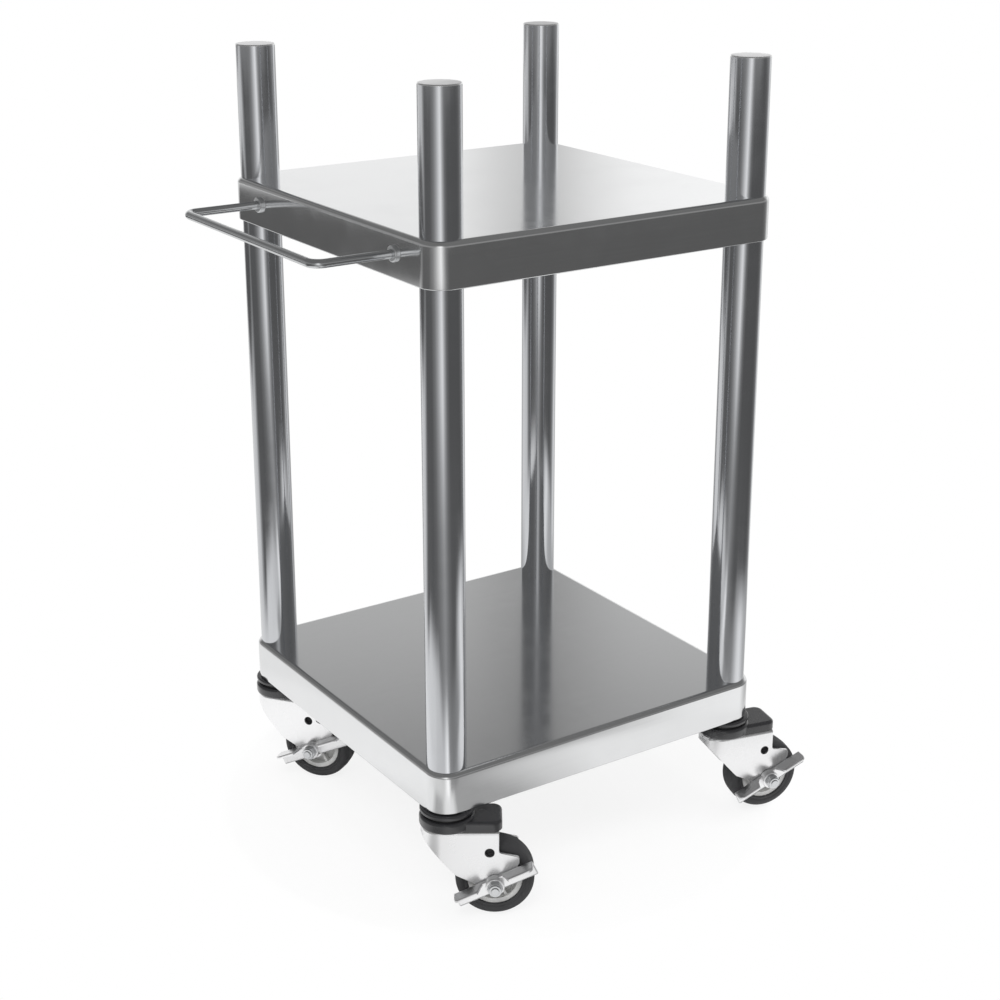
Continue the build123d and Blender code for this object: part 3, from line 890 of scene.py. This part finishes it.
def add_ring_levels(tree, surround, place):
    """The floor's brightness at a place: ring after ring from the feet outwards, but dark on the card."""
    sheets = add_node(tree, "ShaderNodeGroup", node_tree=surround)
    distance = add_node(tree, "ShaderNodeVectorMath", operation="LENGTH")
    to_card = add_node(tree, "ShaderNodeVectorMath", {1: CARD_PLACE}, operation="DISTANCE")
    drawn_in = add_node(tree, "ShaderNodeMath", {1: -APRON_REACH}, operation="MULTIPLY_ADD")
    link = tree.links.new
    link(place, sheets.inputs["Direction"])
    link(place, distance.inputs[0])
    link(place, to_card.inputs[0])
    link(sheets.outputs["Apron"], drawn_in.inputs[0])
    link(distance.outputs["Value"], drawn_in.inputs[2])
    past_foot = add_fade(tree, distance.outputs["Value"], FOOT_REACH, FOOT_FADE)
    past_near = add_fade(tree, drawn_in.outputs[0], NEAR_REACH, NEAR_FADE)
    past_middle = add_fade(tree, distance.outputs["Value"], MIDDLE_REACH, MIDDLE_FADE)
    off_card = add_fade(tree, to_card.outputs["Value"], CARD_REACH, CARD_FADE)
    level = add_mix(tree, past_middle, sheets.outputs["Middle"], sheets.outputs["Far"])
    level = add_mix(tree, past_near, sheets.outputs["Near"], level)
    level = add_mix(tree, past_foot, sheets.outputs["Foot"], level)
    level = add_mix(tree, off_card, CARD_LEVEL, level)
    glowing = add_fade(tree, distance.outputs["Value"], GLOW_REACH, GLOW_FADE)
    return level, glowing


def make_floor_material(surround):
    """White with a faint shadow to the camera; to metal, pale, then glowing in rings; clear from below."""
    material = bpy.data.materials.new("studio_floor")
    material.use_nodes = True
    tree = material.node_tree
    tree.nodes.clear()
    place = add_node(tree, "ShaderNodeTexCoord").outputs["Object"]
    to_camera = add_node(tree, "ShaderNodeLightPath").outputs["Is Camera Ray"]
    from_below = add_node(tree, "ShaderNodeNewGeometry").outputs["Backfacing"]
    level, glowing = add_ring_levels(tree, surround, place)
    matte = add_node(tree, "ShaderNodeBsdfDiffuse")
    glow = add_node(tree, "ShaderNodeEmission", {"Strength": 1.0})
    lift = add_node(tree, "ShaderNodeMath", {1: SHADOW_LIFT}, operation="MULTIPLY")
    glow_share = add_node(tree, "ShaderNodeMath", operation="MAXIMUM")
    lit = add_node(tree, "ShaderNodeMixShader")
    seen = add_node(tree, "ShaderNodeMixShader")
    clear = add_node(tree, "ShaderNodeBsdfTransparent")
    out = add_node(tree, "ShaderNodeOutputMaterial")
    link = tree.links.new
    link(add_mix(tree, to_camera, PALE, 1.0), matte.inputs["Color"])
    link(add_mix(tree, to_camera, level, 1.0), glow.inputs["Color"])
    link(to_camera, lift.inputs[0])
    link(glowing, glow_share.inputs[0])
    link(lift.outputs[0], glow_share.inputs[1])
    link(glow_share.outputs[0], lit.inputs["Fac"])
    link(matte.outputs[0], lit.inputs[1])
    link(glow.outputs[0], lit.inputs[2])
    link(from_below, seen.inputs["Fac"])
    link(lit.outputs[0], seen.inputs[1])
    link(clear.outputs[0], seen.inputs[2])
    link(seen.outputs[0], out.inputs["Surface"])
    return material


def make_floor(surround):
    """A wide level square at height 0."""
    mesh = bpy.data.meshes.new("floor")
    reach = FLOOR_REACH
    mesh.from_pydata([(-reach, -reach, 0), (reach, -reach, 0), (reach, reach, 0), (-reach, reach, 0)], [],
                     [(0, 1, 2, 3)])
    mesh.materials.append(make_floor_material(surround))
    floor = bpy.data.objects.new("floor", mesh)
    bpy.context.scene.collection.objects.link(floor)


def make_world(surround):
    """White to the camera; the lit sheets, fading upwards, in metal; even soft light for the rest."""
    world = bpy.data.worlds.new("studio")
    bpy.context.scene.world = world
    world.use_nodes = True
    tree = world.node_tree
    tree.nodes.clear()
    direction = add_node(tree, "ShaderNodeTexCoord").outputs["Generated"]
    path = add_node(tree, "ShaderNodeLightPath")
    sheets = add_node(tree, "ShaderNodeGroup", node_tree=surround)
    parts = add_node(tree, "ShaderNodeSeparateXYZ")
    mirrored = add_node(tree, "ShaderNodeMath", operation="MAXIMUM")
    shine = add_node(tree, "ShaderNodeBackground", {"Strength": 1.0})
    out = add_node(tree, "ShaderNodeOutputWorld")
    link = tree.links.new
    link(direction, sheets.inputs["Direction"])
    link(direction, parts.inputs[0])
    link(path.outputs["Is Glossy Ray"], mirrored.inputs[0])
    link(path.outputs["Is Transmission Ray"], mirrored.inputs[1])
    dimming = add_fade(tree, parts.outputs["Z"], SKY_START, SKY_FADE, 1.0, SKY_DIM)
    dimmed = add_mix(tree, dimming, 0.0, sheets.outputs["Sky"])
    high = add_fade(tree, parts.outputs["Z"], TOP_START, TOP_FADE)
    sky = add_mix(tree, high, dimmed, ZENITH)
    level = add_mix(tree, mirrored.outputs[0], AMBIENT, sky)
    link(add_mix(tree, path.outputs["Is Camera Ray"], level, 1.0), shine.inputs["Color"])
    link(shine.outputs[0], out.inputs["Surface"])


def add_lamp(name, place, size, power):
    """A square soft lamp aimed at the middle of the cart, not seen in metal."""
    lamp = bpy.data.lights.new(name, "AREA")
    lamp.size = size
    lamp.energy = power
    holder = bpy.data.objects.new(name, lamp)
    bpy.context.scene.collection.objects.link(holder)
    target = (cad_box[0] + cad_box[1]) / 2
    holder.visible_glossy = False
    holder.location = place
    holder.rotation_euler = (target - Vector(place)).to_track_quat("-Z", "Y").to_euler()


def make_camera():
    """The camera at the photograph's viewing angle."""
    data = bpy.data.cameras.new("camera")
    data.sensor_width = SENSOR
    data.lens = FOCAL_SHARE * SENSOR
    data.shift_y = SHIFT_UP
    data.clip_start = CLIP_START
    holder = bpy.data.objects.new("camera", data)
    bpy.context.scene.collection.objects.link(holder)
    gaze = Vector((sin(YAW) * cos(PITCH), cos(YAW) * cos(PITCH), -sin(PITCH)))
    holder.location = EYE
    holder.rotation_euler = gaze.to_track_quat("-Z", "Y").to_euler()
    bpy.context.scene.camera = holder


SURROUND = make_surround_group()
make_floor(SURROUND)
make_world(SURROUND)
for lamp_name, (lamp_place, lamp_size, lamp_power) in LAMPS.items():
    add_lamp(lamp_name, lamp_place, lamp_size, lamp_power)
make_camera()
bpy.context.scene.view_settings.view_transform = "Standard"
